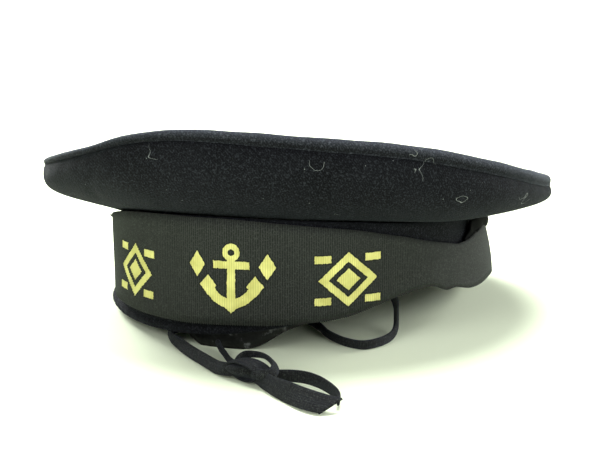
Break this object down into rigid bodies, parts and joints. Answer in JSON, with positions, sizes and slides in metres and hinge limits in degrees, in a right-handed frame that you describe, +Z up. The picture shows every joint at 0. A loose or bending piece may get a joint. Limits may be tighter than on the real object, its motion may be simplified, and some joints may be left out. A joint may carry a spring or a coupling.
{
  "type": "sailor cap",
  "caption": "Soft round sailor cap with a broad flat crown, a ribbed ribbon round its headband, a leather sweatband and a chin strap tied in a bow.",
  "frame": {"origin": "centre of the cap's outline on the surface it lies on, under the crown's centre", "axes": "+Z up, the wearer faces -Y, +X is the wearer's left"},
  "size_m": [0.2275, 0.2735, 0.0904],
  "materials": {
    "wool": "dark navy wool cloth, matt with a short nap",
    "ribbon": "black ribbed silk or rayon ribbon with plain gold foil motifs",
    "ribbon_end": "black ribbon end, dull back face",
    "leather": "dark leather, worn grey in patches",
    "strap": "woven cotton tape, dark grey-blue"
  },
  "bodies": {
    "root": {"crown_top": "wool", "crown_side": "wool", "headband": "wool", "hat_ribbon": "ribbon", "ribbon_tab": "ribbon_end", "sweatband": "leather", "chin_strap_side": "strap", "chin_strap_front": "strap", "bow_small_loop": "strap", "bow_long_loop": "strap", "bow_knot": "strap"}
  },
  "joints": []
}
